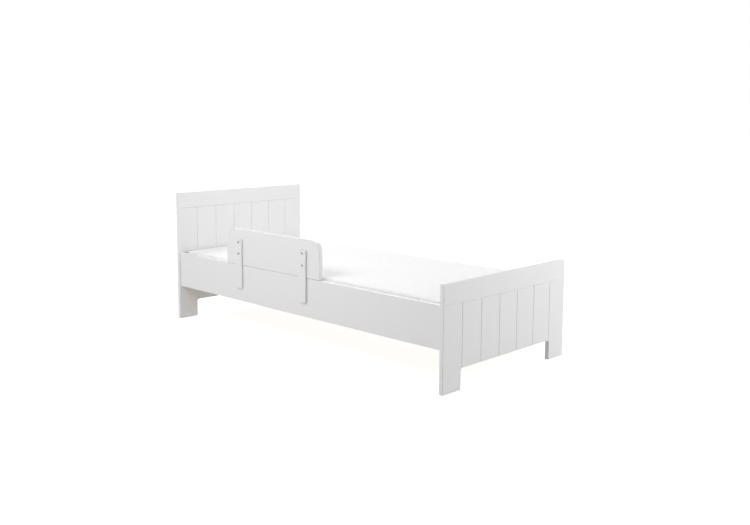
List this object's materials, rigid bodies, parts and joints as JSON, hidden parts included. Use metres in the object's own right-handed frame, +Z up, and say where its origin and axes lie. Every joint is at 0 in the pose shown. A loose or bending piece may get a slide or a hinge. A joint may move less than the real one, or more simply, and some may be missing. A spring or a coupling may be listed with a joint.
{
  "type": "toddler bed",
  "caption": "Low toddler bed with grooved head and foot boards on cut-out legs, side rails, slatted base, foam mattress and a lift-off side guard.",
  "frame": {"origin": "on the floor, in the middle of the bed's length and of the two boards' width", "axes": "+X from the headboard to the footboard, +Y from the guard's side to the other side, +Z up"},
  "size_m": [1.656, 0.763, 0.605],
  "materials": {
    "white_lacquered_board": "satin",
    "pine": "matte",
    "beech": "matte",
    "zinc": "satin",
    "steel": "satin",
    "nickel": "satin",
    "webbing": "matte",
    "cover_knit": "matte",
    "zip_nylon": "matte",
    "foam": "matte"
  },
  "bodies": {
    "bed_frame": {"headboard": "white_lacquered_board", "footboard": "white_lacquered_board", "side_rail_front": "white_lacquered_board", "side_rail_back": "white_lacquered_board", "slat_ledger_front": "pine", "slat_ledger_back": "pine", "slat_01": "pine", "slat_02": "pine", "slat_03": "pine", "slat_04": "pine", "slat_05": "pine", "slat_06": "pine", "slat_07": "pine", "slat_08": "pine", "slat_09": "pine", "slat_10": "pine", "slat_11": "pine", "slat_12": "pine", "slat_13": "pine", "slat_tape_front": "webbing", "slat_tape_back": "webbing", "cam_lock_head_front": "zinc", "cam_bolt_head_front": "steel", "dowel_head_front_lower": "beech", "dowel_head_front_upper": "beech", "cam_lock_head_back": "zinc", "cam_bolt_head_back": "steel", "dowel_head_back_lower": "beech", "dowel_head_back_upper": "beech", "cam_lock_foot_front": "zinc", "cam_bolt_foot_front": "steel", "dowel_foot_front_lower": "beech", "dowel_foot_front_upper": "beech", "cam_lock_foot_back": "zinc", "cam_bolt_foot_back": "steel", "dowel_foot_back_lower": "beech", "dowel_foot_back_upper": "beech", "slat_screw_01_front": "steel", "slat_screw_01_back": "steel", "slat_screw_07_front": "steel", "slat_screw_07_back": "steel", "slat_screw_13_front": "steel", "slat_screw_13_back": "steel"},
    "mattress": {"mattress_cover": "cover_knit", "mattress_core": "foam", "mattress_zip": "zip_nylon"},
    "guard": {"guard_panel": "white_lacquered_board", "guard_strip_outer_head": "white_lacquered_board", "guard_strip_outer_foot": "white_lacquered_board", "guard_strip_inner_head": "white_lacquered_board", "guard_strip_inner_foot": "white_lacquered_board", "guard_bolt_head_upper": "nickel", "guard_nut_head_upper": "nickel", "guard_bolt_head_lower": "nickel", "guard_nut_head_lower": "nickel", "guard_bolt_foot_upper": "nickel", "guard_nut_foot_upper": "nickel", "guard_bolt_foot_lower": "nickel", "guard_nut_foot_lower": "nickel"}
  },
  "joints": [
    {"name": "guard_lift", "type": "slide", "parent": "bed_frame", "child": "guard", "axis": [0, 0, 1], "range_m": [0, 0.2]},
    {"name": "mattress_lift", "type": "slide", "parent": "bed_frame", "child": "mattress", "axis": [0, 0, 1], "range_m": [0, 0.4]}
  ]
}
